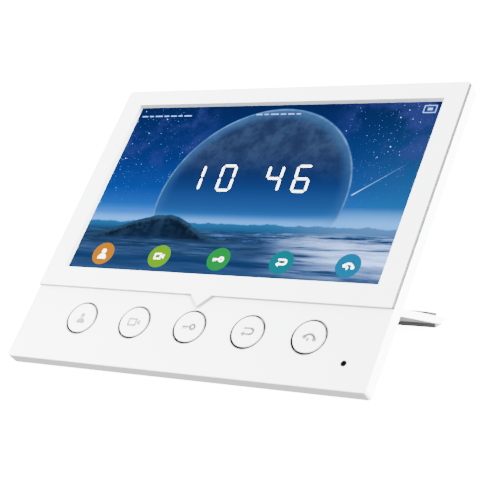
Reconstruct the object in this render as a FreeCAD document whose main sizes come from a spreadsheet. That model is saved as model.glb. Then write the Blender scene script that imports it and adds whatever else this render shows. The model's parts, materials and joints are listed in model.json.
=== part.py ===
"""Desk-standing video intercom monitor: a white indoor station leaning back on a fold-out leg.

Each piece is drawn in the station's own axes: x across, y up the front face from its lower edge, z out
of the front face with z = 0 on the key panel. The station is then leaned back and set on the table.
"""

import FreeCAD, Part
import math
import os
import Sketcher

V = FreeCAD.Vector
doc = FreeCAD.newDocument("intercom")
sheet = doc.addObject("Spreadsheet::Sheet", "dims")

DRIVING = {
    "lean": 42, "body_wide": 174, "body_high": 142, "corner_rad": 1.5, "face_thick": 2, "skirt_deep": 6,
    "skirt_thick": 2, "back_round": 0.8, "face_round": 0.4,
    "bezel_thick": 1.2, "bezel_round": 0.25, "seam_up": 35.2, "notch_half": 5.3, "notch_drop": 5.5,
    "window_wide": 155, "window_high": 89.2, "window_up": 44.7, "lip_thick": 1.25,
    "lens_border": 2.5, "lens_thick": 0.8, "lens_gap": 0.2, "foam_thick": 0.6, "foam_wide": 2,
    "lcd_thick": 2.3, "frame_thick": 0.3,
    "key_pitch": 27.85, "key_up": 20.75, "key_rad": 7.05, "key_gap": 0.6, "key_proud": 0.25,
    "key_round": 0.35, "key_travel": 0.5, "flange_extra": 1.2, "flange_thick": 0.8, "stem_rad": 1.75,
    "stem_gap": 0.15, "switch_wide": 6.2, "switch_high": 3.1, "keyboard_deep": 7.4,
    "keyboard_wide": 124, "keyboard_high": 12.5, "keyboard_thick": 1.2,
    "mic_x": 74, "mic_up": 11.1, "mic_hole": 1.05, "mic_rad": 2.2, "boot_wall": 0.9, "boot_deep": 2.4,
    "cover_inset": 2.15, "cover_flange": 1, "flange_deep": 5.4, "case_half": 74, "case_low": 12,
    "case_slope": 6, "case_top": 130, "case_deep": 20, "case_wall": 2,
    "bay_half": 38, "bay_low": 19, "bay_top": 42, "bay_deep": 8, "bay_wall": 1.5,
    "vent_pitch": 6, "vent_wide": 2, "vent_high": 12, "vent_up": 108,
    "board_half": 63, "board_low": 46, "board_top": 120, "board_deep": 8.2, "board_thick": 1.6,
    "chip_high": 1.2, "shield_high": 2.4, "jack_wide": 16, "jack_long": 18, "jack_high": 10,
    "jack_x": -16, "block_wide": 30, "block_long": 10, "block_high": 10, "block_x": 14,
    "speaker_x": -50, "speaker_up": 84, "speaker_rad": 15, "speaker_high": 4.5, "speaker_gap": 0.4,
    "screw_rad": 1.25, "screw_head": 2.4, "head_high": 1.2, "screw_bite": 2.2, "seat_thick": 2.4,
    "cross_wide": 0.7,
    "insert_x": 30, "insert_up": 118, "insert_rad": 2.8, "insert_bore": 1.65, "insert_long": 6,
    "hinge_up": 49.1, "hinge_back": 25, "pin_rad": 1.5, "pin_gap": 0.02, "ear_gap": 0.6,
    "ear_in": 44.3, "ear_out": 52.3, "ear_rad": 3.2, "barrel_rad": 2.9, "bracket_thick": 1.6,
    "bracket_half": 70, "bracket_drop": 4.6, "bracket_rise": 16.9, "stop_gap": 0.05,
    "leg_half": 71, "leg_thick": 3, "leg_slope": 21.5, "slot_reach": 4.6, "foot_thick": 1.9,
    "foot_long": 5.6, "pad_rad": 6.8, "pad_thick": 1.3, "pad_side": 1.5, "pad_back": 0.8,
}
for row, (alias, number) in enumerate(DRIVING.items(), start=1):
    sheet.set(f"A{row}", str(number))
    sheet.setAlias(f"A{row}", alias)
doc.recompute()

LEAN = math.radians(DRIVING["lean"])
SLOPE = math.radians(DRIVING["leg_slope"])


def cells(text):
    """Points each bare size name in a formula at its cell."""
    out = ""
    word = ""
    for letter in str(text) + " ":
        if letter.isalnum() or letter == "_":
            word += letter
            continue
        out += "dims." + word if word in DRIVING else word
        out += letter
        word = ""
    return out.strip()


def bind(thing, **formulas):
    for name, text in formulas.items():
        thing.setExpression(name.replace("__", "."), cells(text))


def place_at(thing, spot):
    for axis, text in zip("xyz", spot):
        thing.setExpression("Placement.Base." + axis, cells(text))


def box(spot, long, deep, high):
    """A box from its least corner, each value a formula."""
    made = doc.addObject("Part::Box", "Block")
    bind(made, Length=long, Width=deep, Height=high)
    place_at(made, spot)
    return made


def slab(half, low, high, back, front):
    """A box centred across, between two heights up the face and two depths."""
    return box((f"-({half})", low, back), f"2*({half})", f"({high})-({low})", f"({front})-({back})")


def rod(spot, radius, long, axis="z"):
    """A cylinder from the middle of its first end."""
    made = doc.addObject("Part::Cylinder", "Rod")
    bind(made, Radius=radius, Height=long)
    turns = {"z": FreeCAD.Rotation(), "x": FreeCAD.Rotation(V(0, 1, 0), 90),
             "y": FreeCAD.Rotation(V(1, 0, 0), -90)}
    made.Placement = FreeCAD.Placement(V(), turns[axis])
    place_at(made, spot)
    return made


def fuse(*things):
    if len(things) == 1:
        return things[0]
    made = doc.addObject("Part::MultiFuse", "Joined")
    made.Shapes = list(things)
    made.Refine = True
    return made


def cut(base, *tools):
    made = doc.addObject("Part::Cut", "Cut")
    made.Base = base
    made.Tool = fuse(*tools)
    doc.recompute()
    if made.Shape.Volume > base.Shape.Volume - 1e-3:
        raise ValueError("a cut took nothing away from " + base.Name)
    return made


def rounded(base, radius, chosen):
    """Fillets the edges that the rule picks, reading the radius from its cell."""
    doc.recompute()
    picked = []
    for number, edge in enumerate(base.Shape.Edges, start=1):
        if chosen(edge):
            picked.append((number, DRIVING[radius], DRIVING[radius]))
    if not picked:
        raise ValueError("no edge was picked to round on " + base.Name)
    made = doc.addObject("Part::Fillet", "Rounded")
    made.Base = base
    made.Edges = picked
    doc.recompute()
    return made


def upright(edge):
    """True for a straight edge along z."""
    box_of = edge.BoundBox
    return box_of.XLength < 1e-6 and box_of.YLength < 1e-6 and box_of.ZLength > 1e-6


def at_depth(depth):
    """A rule for the edges that lie flat at one depth."""
    def chosen(edge):
        return abs(edge.BoundBox.ZMin - depth) < 1e-6 and abs(edge.BoundBox.ZMax - depth) < 1e-6
    return chosen


def outline(plane, corners, thick, start="0", both_ways=False):
    """A padded outline whose corners are held by constraints bound to the cells."""
    body = doc.addObject("PartDesign::Body", "Body")
    sketch = body.newObject("Sketcher::SketchObject", "Outline")
    face = [item for item in body.Origin.OriginFeatures if item.Role == plane][0]
    sketch.AttachmentSupport = (face, [""])
    sketch.MapMode = "FlatFace"
    sketch.setExpression("AttachmentOffset.Base.z", cells(start))
    sheet_now = [[reading(text) for text in corner] for corner in corners]
    count = len(corners)
    for number in range(count):
        here = sheet_now[number]
        after = sheet_now[(number + 1) % count]
        sketch.addGeometry(Part.LineSegment(V(here[0], here[1], 0), V(after[0], after[1], 0)))
    for number in range(count):
        sketch.addConstraint(Sketcher.Constraint("Coincident", number, 2, (number + 1) % count, 1))
        for axis, text, now in zip("XY", corners[number], sheet_now[number]):
            made = sketch.addConstraint(Sketcher.Constraint("Distance" + axis, -1, 1, number, 1, now))
            sketch.renameConstraint(made, f"corner{number}{axis}")
            sketch.setExpression(f"Constraints.corner{number}{axis}", cells(text))
    pad = body.newObject("PartDesign::Pad", "Pad")
    pad.Profile = sketch
    pad.SideType = "Symmetric" if both_ways else "One side"
    bind(pad, Length=thick)
    body.Tip = pad
    doc.recompute()
    return body


def reading(text):
    """What a formula gives now, worked out by the sheet itself."""
    sheet.set("C1", "=" + text)
    sheet.recompute()
    return float(sheet.get("C1"))


NODES = {}


def movable(piece):
    """A primitive's place is bound to the cells, so it gets a holder that can be moved."""
    if piece.TypeId not in ("Part::Box", "Part::Cylinder"):
        return piece
    holder = doc.addObject("Part::Refine", "Holder")
    holder.Source = piece
    return holder


def finish(node, piece):
    """Names a finished piece and keeps it for export."""
    piece = movable(piece)
    piece.Label = node
    NODES[node] = piece


# heights and depths that several pieces share, as formulas
WINDOW_TOP = "(window_up+window_high)"
LENS_BACK = "(-lip_thick-lens_thick)"
FOAM_BACK = "(-lip_thick-lens_thick-foam_thick)"
LCD_BACK = "(-lip_thick-lens_thick-foam_thick-lcd_thick)"
FRAME_BACK = "(-lip_thick-lens_thick-foam_thick-lcd_thick-frame_thick)"
KEY_BACK = "(-face_thick-0.15-flange_thick)"
BOARD_FRONT = "(-keyboard_deep)"
KEYBOARD_LOW = "(key_up-switch_wide/2-0.4)"
INSIDE_BACK = "(-case_deep+case_wall)"
BRACKET_TOP = "(hinge_up+bracket_rise)"
KEYS = ["contact", "monitor", "unlock", "return", "talk"]


def key_x(number):
    return f"({number - 2}*key_pitch)"


SCREW_SPOTS = [("-(case_half-7)", "case_low+14"), ("case_half-7", "case_low+14")]
BRACKET_SPOTS = [("-34", BRACKET_TOP + "-6"), ("34", BRACKET_TOP + "-6"), ("-62", BRACKET_TOP + "-6"),
                 ("62", BRACKET_TOP + "-6")]
BOARD_SPOTS = [("-board_half+4", "board_low+5"), ("board_half-4", "board_low+5"),
               ("-board_half+4", "board_top-5"), ("board_half-4", "board_top-5")]


def make_front_shell():
    body = slab("body_wide/2", "0", "body_high", "-skirt_deep", "0")
    body = rounded(body, "corner_rad", upright)
    body = rounded(body, "back_round", at_depth(-DRIVING["skirt_deep"]))
    body = rounded(body, "face_round", at_depth(0))
    hollow = slab("body_wide/2-skirt_thick", "skirt_thick", "body_high-skirt_thick",
                  "-skirt_deep-1", "-face_thick")
    window = slab("window_wide/2", "window_up", WINDOW_TOP, "-skirt_deep", "1")
    pocket = slab("window_wide/2+lens_border+lens_gap", "window_up-lens_border-lens_gap",
                  WINDOW_TOP + "+lens_border+lens_gap", "-skirt_deep", "-lip_thick")
    holes = [rod((key_x(n), "key_up", "-skirt_deep"), "key_rad+key_gap", "skirt_deep+1")
             for n in range(len(KEYS))]
    holes.append(rod(("mic_x", "mic_up", "-skirt_deep"), "mic_hole", "skirt_deep+1"))
    bosses = [cut(rod((x, y, "-flange_deep"), "screw_rad+1.6", "flange_deep-face_thick+0.2"),
                  rod((x, y, "-flange_deep-1"), "screw_rad", "flange_deep-face_thick"))
              for x, y in SCREW_SPOTS]
    finish("front_shell", fuse(cut(body, hollow, window, pocket, *holes), *bosses))


def make_bezel():
    outer = [("-body_wide/2+0.15", "seam_up"), ("-notch_half", "seam_up"), ("0", "seam_up-notch_drop"),
             ("notch_half", "seam_up"), ("body_wide/2-0.15", "seam_up"),
             ("body_wide/2-0.15", "body_high-0.15"), ("-body_wide/2+0.15", "body_high-0.15")]
    plate = outline("XY_Plane", outer, "bezel_thick")

    def top_corner(edge):
        return upright(edge) and edge.BoundBox.YMin > DRIVING["body_high"] - 1

    plate = rounded(plate, "corner_rad", top_corner)
    plate = rounded(plate, "bezel_round", at_depth(DRIVING["bezel_thick"]))
    window = slab("window_wide/2", "window_up", WINDOW_TOP, "-1", "bezel_thick+1")
    finish("bezel_plate", cut(plate, window))


def make_display():
    half = "window_wide/2+lens_border"
    low = "window_up-lens_border"
    top = WINDOW_TOP + "+lens_border"
    finish("screen_glass", slab(half, low, top, LENS_BACK, "-lip_thick"))
    seat = slab(half, low, top, FOAM_BACK, LENS_BACK)
    hole = slab("window_wide/2+0.5", "window_up-0.5", WINDOW_TOP + "+0.5", FOAM_BACK + "-1", LENS_BACK + "+1")
    finish("display_gasket", cut(seat, hole))
    finish("lcd_module", slab(half + "+1.8", low + "-1.8", top + "+1.8", LCD_BACK, FOAM_BACK))
    frame = slab(half + "+1.8", low + "-1.8", top + "+1.8", FRAME_BACK, LCD_BACK)
    opening = slab("window_wide/2-30", "window_up+24", WINDOW_TOP + "-24", FRAME_BACK + "-1", LCD_BACK + "+1")
    finish("lcd_frame", cut(frame, opening))


def make_keys():
    """Caps, the plungers they press, the switch bodies and the board under them."""
    for number, name in enumerate(KEYS):
        x = key_x(number)
        cap = rod((x, "key_up", KEY_BACK), "key_rad", f"key_proud-({KEY_BACK})")
        cap = rounded(cap, "key_round", at_depth(DRIVING["key_proud"]))
        flange = rod((x, "key_up", KEY_BACK), "key_rad+flange_extra", "flange_thick")
        finish("key_" + name, fuse(cap, flange))
        stem = rod((x, "key_up", "-keyboard_deep+switch_high-key_travel-0.4"), "stem_rad",
                   f"({KEY_BACK})-(-keyboard_deep+switch_high-key_travel-0.4)")
        finish("plunger_" + name, stem)
        can = box((f"{x}-switch_wide/2", "key_up-switch_wide/2", BOARD_FRONT),
                  "switch_wide", "switch_wide", "switch_high")
        well = rod((x, "key_up", "-keyboard_deep+0.6"), "stem_rad+stem_gap", "switch_high")
        finish("switch_" + name, cut(can, well))
    board = slab("keyboard_wide/2", KEYBOARD_LOW, KEYBOARD_LOW + "+keyboard_high",
                 BOARD_FRONT + "-keyboard_thick", BOARD_FRONT)
    finish("key_board", board)


def make_microphone():
    boot = rod(("mic_x", "mic_up", "-face_thick-boot_deep"), "mic_rad+boot_wall", "boot_deep")
    well = rod(("mic_x", "mic_up", "-face_thick-boot_deep-1"), "mic_rad", "boot_deep+0.4")
    sound = rod(("mic_x", "mic_up", "-face_thick-boot_deep"), "mic_hole", "boot_deep+1")
    finish("microphone_boot", cut(boot, well, sound))
    finish("microphone", rod(("mic_x", "mic_up", "-face_thick-boot_deep"), "mic_rad-0.05",
                             "boot_deep-0.65"))


def make_rear_cover():
    """The back case with its rim, cable bay, vents, sound holes and hollow bosses."""
    rim = slab("body_wide/2-cover_inset", "cover_inset", "body_high-cover_inset",
               "-flange_deep-cover_flange", "-flange_deep")
    rim = rounded(rim, "corner_rad", upright)
    shape = [("case_low", "-flange_deep-0.5"), ("case_low+case_slope", "-case_deep"),
             ("case_top-case_slope", "-case_deep"), ("case_top", "-flange_deep-0.5")]
    case = outline("YZ_Plane", shape, "2*case_half", both_ways=True)
    inner = [("case_low+case_wall", "-flange_deep+1"),
             ("case_low+case_slope+case_wall", INSIDE_BACK),
             ("case_top-case_slope-case_wall", INSIDE_BACK), ("case_top-case_wall", "-flange_deep+1")]
    hollow = outline("YZ_Plane", inner, "2*(case_half-case_wall)", both_ways=True)
    tub = slab("bay_half+bay_wall", "bay_low-bay_wall+1", "bay_top+bay_wall", "-case_deep", "-bay_deep-0.9")
    bosses = [rod((x, y, "-case_deep"), "screw_head+1.2", "case_deep-flange_deep") for x, y in SCREW_SPOTS]
    posts = [rod((x, y, "-case_deep+0.5"), "screw_rad+1.3", "case_deep-0.5-board_deep-board_thick")
             for x, y in BOARD_SPOTS]
    lugs = [rod((x, y, "-case_deep+0.5"), "screw_rad+1.3", "5.5") for x, y in BRACKET_SPOTS]
    sleeves = [rod((f"{side}*insert_x", "insert_up", "-case_deep"), "insert_rad+1.2", "insert_long+1.2")
               for side in (-1, 1)]
    shell = fuse(cut(fuse(rim, case), hollow), tub, *bosses, *posts, *lugs, *sleeves)
    bay = slab("bay_half", "bay_low+1", "bay_top", "-case_deep-1", "-bay_deep-bay_wall-0.9")
    tools = [bay]
    for x, y in SCREW_SPOTS:
        tools.append(rod((x, y, "-case_deep-1"), "screw_head+0.2", "case_deep+1-flange_deep-seat_thick"))
        tools.append(rod((x, y, "-case_deep"), "screw_rad+0.1", "case_deep"))
    for x, y in BOARD_SPOTS:
        tools.append(rod((x, y, "-board_deep-board_thick-4.5"), "screw_rad", "6"))
    for x, y in BRACKET_SPOTS:
        tools.append(rod((x, y, "-case_deep-1"), "screw_rad", "5.4"))
    for side in (-1, 1):
        tools.append(rod((f"{side}*insert_x", "insert_up", "-case_deep-1"), "insert_rad",
                         "insert_long+1"))
    for column in range(-8, 9):
        if abs(column) < 3 or abs(column) in (4, 5, 6):
            tools.append(box((f"{column}*vent_pitch-vent_wide/2", "vent_up-vent_high-4", "-case_deep-1"),
                             "vent_wide", "vent_high", "case_wall+2"))
    for ring, count in ((0, 1), (4, 6), (8, 12)):
        for step in range(count):
            turn = 2 * math.pi * step / count
            spot = (f"speaker_x+({ring * math.cos(turn):.4f})", f"speaker_up+({ring * math.sin(turn):.4f})",
                    "-case_deep-1")
            tools.append(rod(spot, "1", "case_wall+2"))
    jack_hole = box(("jack_x-jack_wide/2-0.2", "bay_top-1", "-case_deep+case_wall"),
                    "jack_wide+0.4", "bay_wall+2", "jack_high-case_wall+0.4")
    block_hole = box(("block_x-block_wide/2-0.2", "bay_top-1", "-case_deep+case_wall"),
                     "block_wide+0.4", "bay_wall+2", "block_high-case_wall+0.4")
    finish("rear_cover", cut(shell, jack_hole, block_hole, *tools))


def screw(x, y, seat, long):
    """A pan screw whose head stands behind its seat, with a cross recess."""
    head = rod((x, y, f"({seat})-head_high"), "screw_head", "head_high")
    shank = rod((x, y, seat), "screw_rad", long)
    across = box((f"{x}-1.5", f"{y}-cross_wide/2", f"({seat})-head_high-0.5"), "3", "cross_wide", "1.2")
    along = box((f"{x}-cross_wide/2", f"{y}-1.5", f"({seat})-head_high-0.5"), "cross_wide", "3", "1.2")
    return cut(fuse(head, shank), across, along)


def make_screws():
    finish("cover_screws", fuse(*[screw(x, y, "-flange_deep-seat_thick", "seat_thick+screw_bite")
                                  for x, y in SCREW_SPOTS]))
    board = []
    for x, y in BOARD_SPOTS:
        shank = rod((x, y, "-board_deep-board_thick-4"), "screw_rad", "4+board_thick")
        head = rod((x, y, "-board_deep"), "screw_head", "head_high")
        slot = box((f"{x}-1.5", f"{y}-cross_wide/2", "-board_deep+head_high-0.6"), "3", "cross_wide", "1")
        board.append(cut(fuse(head, shank), slot))
    finish("board_screws", fuse(*board))
    finish("bracket_screws", fuse(*[screw(x, y, "-case_deep-bracket_thick", "bracket_thick+4")
                                    for x, y in BRACKET_SPOTS]))
    for side, name in ((-1, "wall_insert_left"), (1, "wall_insert_right")):
        nut = rod((f"{side}*insert_x", "insert_up", "-case_deep"), "insert_rad", "insert_long")
        bore = rod((f"{side}*insert_x", "insert_up", "-case_deep-1"), "insert_bore", "insert_long")
        groove = cut(rod((f"{side}*insert_x", "insert_up", "-case_deep+2.5"), "insert_rad+1", "1"),
                     rod((f"{side}*insert_x", "insert_up", "-case_deep+2"), "insert_rad-0.4", "2"))
        finish(name, cut(nut, bore, groove))


def make_electronics():
    board = slab("board_half", "board_low", "board_top", "-board_deep-board_thick", "-board_deep")
    holes = [rod((x, y, "-board_deep-board_thick-1"), "screw_rad", "board_thick+2") for x, y in BOARD_SPOTS]
    finish("main_board", cut(board, *holes))
    back = "(-board_deep-board_thick)"
    can = box(("6", "board_low+34", back + "-shield_high"), "30", "24", "shield_high")
    inside = box(("6.3", "board_low+34.3", back + "-shield_high+0.3"), "29.4", "23.4", "shield_high")
    finish("board_shield", cut(can, inside))
    chips = [box((x, y, back + "-" + high), long, deep, high) for x, y, long, deep, high in (
        ("12", "board_low+39", "14", "14", "chip_high"), ("42", "board_low+34", "9", "12", "chip_high"),
        ("42", "board_low+50", "9", "6", "chip_high"))]
    for number, chip in enumerate(chips):
        finish(("processor_chip", "memory_chip", "power_chip")[number], chip)
    caps = [rod((f"44+{9 * n}", "board_low+18", back + "-6"), "3", "6") for n in range(2)]
    finish("capacitor_inner", caps[0])
    finish("capacitor_outer", caps[1])
    jack_low = "(bay_top-0.5)"
    jack = box(("jack_x-jack_wide/2", jack_low, "-case_deep+case_wall+0.2"),
               "jack_wide", "jack_long", "jack_high-case_wall")
    mouth = box(("jack_x-5.9", jack_low + "-1", "-case_deep+case_wall+1.2"), "11.8", "13", "5.8")
    finish("network_jack", cut(jack, mouth))
    block = box(("block_x-block_wide/2", jack_low, "-case_deep+case_wall+0.2"),
                "block_wide", "block_long", "block_high-case_wall")
    wires = [rod((f"block_x+({n - 2.5})*5", jack_low + "-1", "-case_deep+case_wall+3"), "1.4", "7", "y")
             for n in range(6)]
    heads = [rod((f"block_x+({n - 2.5})*5", jack_low + "+7.8", "-case_deep+case_wall-0.5"), "1.2", "2")
             for n in range(6)]
    finish("terminal_block", cut(block, *wires, *heads))
    front = "-board_deep+0.15"
    low_end = KEYBOARD_LOW + "+keyboard_high-2"
    flat = [(low_end, BOARD_FRONT + "+0.15"), ("board_low+3", front), ("board_low+3", front + "+0.3"),
            (low_end, BOARD_FRONT + "+0.45")]
    finish("key_ribbon", outline("YZ_Plane", flat, "12", start="40"))
    finish("display_ribbon", box(("-12", "board_top-16", "-board_deep"), "24", "0.3",
                                 "board_deep+" + FRAME_BACK))


def make_speaker():
    back = "(-case_deep+case_wall+speaker_gap)"
    gasket = cut(rod(("speaker_x", "speaker_up", INSIDE_BACK), "speaker_rad", "speaker_gap"),
                 rod(("speaker_x", "speaker_up", INSIDE_BACK + "-1"), "speaker_rad-3", "speaker_gap+2"))
    finish("speaker_gasket", gasket)
    basket = cut(rod(("speaker_x", "speaker_up", back), "speaker_rad", "speaker_high"),
                 rod(("speaker_x", "speaker_up", back + "-1"), "speaker_rad-2", "2"))
    finish("speaker", basket)


HINGE = ("hinge_up", "-hinge_back")


def make_bracket():
    """The pressed plate on the back, with two bored ears and a stop rib beside each end."""
    plate = slab("bracket_half", "hinge_up-bracket_drop", BRACKET_TOP, "-case_deep-bracket_thick", "-case_deep")
    ears = []
    for side in (-1, 1):
        start = "-ear_out+ear_gap/2" if side < 0 else "ear_in+ear_gap/2"
        wide = "ear_out-ear_in-ear_gap"
        ears.append(rod((start, "hinge_up", "-hinge_back"), "ear_rad", wide, "x"))
        ears.append(box((start, "hinge_up-ear_rad", "-hinge_back"), wide, "2*ear_rad",
                        "hinge_back-case_deep"))
    plate = fuse(plate, *ears)
    holes = [rod((x, y, "-case_deep-bracket_thick-1"), "screw_rad", "bracket_thick+2")
             for x, y in BRACKET_SPOTS]
    bore = rod(("-bracket_half-5", "hinge_up", "-hinge_back"), "pin_rad", "2*bracket_half+10", "x")
    plate = cut(plate, bore, *holes)
    # the stop face runs beside the open leg, a hair off its upper face
    angle = LEAN + SLOPE
    along = (math.cos(angle), -math.sin(angle))
    up = (math.sin(angle), math.cos(angle))
    off = "(leg_thick/2+stop_gap)"

    def spot(run, rise):
        return (f"hinge_up+({run})*{along[0]:.6f}+({rise})*{up[0]:.6f}",
                f"-hinge_back+({run})*{along[1]:.6f}+({rise})*{up[1]:.6f}")

    rib = [(BRACKET_TOP + "-9", "-case_deep-bracket_thick+0.4"),
           ("hinge_up+barrel_rad+0.6", "-case_deep-bracket_thick+0.4"),
           spot("barrel_rad+0.3", off), spot("barrel_rad+2.1", off),
           (BRACKET_TOP + "-9", "-case_deep-bracket_thick-2.5")]
    ribs = []
    for start in ("-64", "56"):
        ribs.append(outline("YZ_Plane", rib, "8", start=start))
    finish("stand_bracket", fuse(plate, *ribs))


def in_leg(piece):
    """Turns a piece drawn along the leg into the station's axes."""
    piece = movable(piece)
    turn = FreeCAD.Rotation(V(1, 0, 0), -math.degrees(LEAN + SLOPE))
    piece.Placement = FreeCAD.Placement(V(0, DRIVING["hinge_up"], -DRIVING["hinge_back"]), turn)
    return piece


# how far along the leg its underside meets the top of the foot strip
DROP = DRIVING["hinge_up"] * math.sin(LEAN) - DRIVING["hinge_back"] * math.cos(LEAN)
LIFT = (DRIVING["skirt_deep"] - DRIVING["back_round"]) * math.cos(LEAN)
LIFT += DRIVING["back_round"] * (1 - math.sin(LEAN))
HINGE_HIGH = DROP + LIFT


def leg_spot(ahead, high):
    """The point of the leg's side view at a distance behind the underside's end and a table height."""
    reach = (HINGE_HIGH - DRIVING["leg_thick"] / 2 * math.cos(SLOPE) - DRIVING["foot_thick"])
    reach = reach / math.sin(SLOPE)
    rise = high - DRIVING["foot_thick"]
    run = reach + ahead * math.cos(SLOPE) - rise * math.sin(SLOPE)
    return run, -DRIVING["leg_thick"] / 2 + ahead * math.sin(SLOPE) + rise * math.cos(SLOPE)


def make_leg():
    heel = leg_spot(0, DRIVING["foot_thick"])
    toe = leg_spot(DRIVING["foot_long"] + 0.3, DRIVING["foot_thick"])
    side = [("0", "-leg_thick/2"), (f"{heel[0]:.4f}", "-leg_thick/2"), (f"{toe[0]:.4f}", f"{toe[1]:.4f}"),
            (f"{toe[0] + 0.05:.4f}", "leg_thick/2"), ("0", "leg_thick/2")]
    plate = outline("YZ_Plane", side, "2*leg_half", both_ways=True)
    barrel = rod(("-leg_half+1", "0", "0"), "barrel_rad", "2*leg_half-2", "x")
    gaps = []
    for start in ("-ear_out", "ear_in"):
        gaps.append(box((start, "-ear_rad-1", "-ear_rad-2"), "ear_out-ear_in", "ear_rad+1+slot_reach",
                        "2*ear_rad+4"))
    ends = [box((start, "-ear_rad-1", "-ear_rad-2"), "2", "ear_rad+1+slot_reach", "2*ear_rad+4")
            for start in ("-leg_half-1", "leg_half-1")]
    cable = slab("14", "-8", "9", "-8", "8")
    bore = rod(("-leg_half-1", "0", "0"), "pin_rad+pin_gap", "2*leg_half+2", "x")
    finish("stand_leg", in_leg(cut(fuse(plate, barrel), bore, cable, *gaps, *ends)))
    strip = [leg_spot(0, 0), leg_spot(DRIVING["foot_long"], 0),
             leg_spot(DRIVING["foot_long"], DRIVING["foot_thick"]), leg_spot(0, DRIVING["foot_thick"])]
    corners = [(f"{run:.5f}", f"{rise:.5f}") for run, rise in strip]
    finish("leg_foot_strip", in_leg(outline("YZ_Plane", corners, "2*leg_half-4", both_ways=True)))
    for way, name in ((-1, "leg_pad_left"), (1, "leg_pad_right")):
        pad = rod((f"{way}*(leg_half-pad_side-pad_rad)", f"{toe[0]:.4f}-pad_back-pad_rad", "leg_thick/2"),
                  "pad_rad", "pad_thick")
        finish(name, in_leg(pad))


def make_pins():
    for way, name in ((-1, "hinge_pin_left"), (1, "hinge_pin_right")):
        start = "-bracket_half+1" if way < 0 else "ear_in-12"
        finish(name, rod((start, "hinge_up", "-hinge_back"), "pin_rad", "bracket_half-1-ear_in+12", "x"))


make_front_shell()
make_bezel()
make_display()
make_keys()
make_microphone()
make_rear_cover()
make_screws()
make_electronics()
make_speaker()
make_bracket()
make_leg()
make_pins()
doc.recompute()

# lean the station back, stand its rounded lower edge on the table and centre it front to back
SEAT = FreeCAD.Placement(V(0, 0, LIFT), FreeCAD.Rotation(V(1, 0, 0), DRIVING["lean"]))
for piece in NODES.values():
    piece.Placement = SEAT.multiply(piece.Placement)
doc.recompute()
extents = [piece.Shape.optimalBoundingBox(False, False) for piece in NODES.values()]
lows = [extent.YMin for extent in extents]
highs = [extent.YMax for extent in extents]
CENTRE = FreeCAD.Placement(V(0, -(min(lows) + max(highs)) / 2, 0), FreeCAD.Rotation())
for piece in NODES.values():
    piece.Placement = CENTRE.multiply(piece.Placement)
doc.recompute()

for thing in doc.Objects:
    if "Invalid" in thing.State or "Error" in thing.State:
        raise ValueError("not built: " + thing.Label)
os.makedirs("parts", exist_ok=True)
for node, piece in NODES.items():
    if piece.Shape.isNull() or not piece.Shape.isValid():
        raise ValueError("bad shape: " + node)
    piece.Shape.exportStep("parts/" + node + ".step")
    extent = piece.Shape.optimalBoundingBox(False, False)
    print(node, len(piece.Shape.Solids), round(piece.Shape.Volume, 1), round(extent.YMin, 2),
          round(extent.YMax, 2), round(extent.ZMin, 3), round(extent.ZMax, 2))
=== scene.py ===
"""The looks of the video intercom monitor: white moulded station, lit display, keys, stand and rear."""

import json
import math

import bmesh
import bpy
from mathutils import Matrix, Vector


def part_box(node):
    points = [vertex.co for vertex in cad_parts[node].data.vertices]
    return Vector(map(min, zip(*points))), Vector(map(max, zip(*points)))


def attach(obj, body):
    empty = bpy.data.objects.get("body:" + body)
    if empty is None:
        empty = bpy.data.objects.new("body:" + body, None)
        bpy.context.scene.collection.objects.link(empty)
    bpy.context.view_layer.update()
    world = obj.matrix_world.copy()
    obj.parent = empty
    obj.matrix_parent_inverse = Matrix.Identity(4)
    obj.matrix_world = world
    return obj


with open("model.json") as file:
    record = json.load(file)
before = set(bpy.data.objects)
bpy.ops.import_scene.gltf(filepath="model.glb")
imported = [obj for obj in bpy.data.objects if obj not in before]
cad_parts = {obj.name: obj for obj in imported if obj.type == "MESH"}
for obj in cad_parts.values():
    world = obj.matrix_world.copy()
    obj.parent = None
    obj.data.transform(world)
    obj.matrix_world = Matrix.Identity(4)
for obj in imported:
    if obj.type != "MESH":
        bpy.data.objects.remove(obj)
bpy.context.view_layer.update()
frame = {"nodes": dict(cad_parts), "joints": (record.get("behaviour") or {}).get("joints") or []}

MM = 0.001
NODES = frame["nodes"]
JOINTS = {joint["name"]: joint for joint in frame["joints"]}
KEYS = ("contact", "monitor", "unlock", "return", "talk")

# how far the hinge lies up the face and behind the key panel, which ties the station's axes to the frame
HINGE_UP = 49.1 * MM
HINGE_BACK = 25 * MM
WINDOW_WIDE = 155 * MM
WINDOW_HIGH = 89.2 * MM
WINDOW_UP = 44.7 * MM
LENS_DEPTH = -1.25 * MM
KEY_TOP = 0.25 * MM
KEY_UP = 20.75 * MM
KEY_PITCH = 27.85 * MM

# places on the face for the shading rules, in millimetres along the station's own axes
FACE_HALF = 87.0
FACE_HIGH = 142.0
SKIRT_THICK = 2.0
BEZEL_PROUD = 1.2
SEAM_UP = 35.2
POINTER_HALF = 5.3
POINTER_DROP = 5.5
KEY_RADIUS = 7.05
KEY_HOLE = 7.65
HOLE_SPOT = (74.0, 11.1)
HOLE_RADIUS = 1.05
COVER_BACK = -19.9
COVER_INNER = -17.0
VENTS_LOW = 70.0
VENTS_HIGH = 105.5


def middle(node):
    """The middle of a node's box."""
    low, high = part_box(node)
    return (low + high) / 2


def find_seat():
    """The matrix from the station's own axes (across, up the face, out of the face) to the frame."""
    press = JOINTS["press_unlock"]["axis"]
    lean = math.atan2(press[1], -press[2])
    turn = Matrix.Rotation(lean, 4, "X")
    hinge = middle("hinge_pin_left")
    hinge.x = 0
    return Matrix.Translation(hinge - turn @ Vector((0, HINGE_UP, -HINGE_BACK))) @ turn, lean


SEAT, LEAN = find_seat()


# ---------------------------------------------------------------- node helpers

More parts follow.
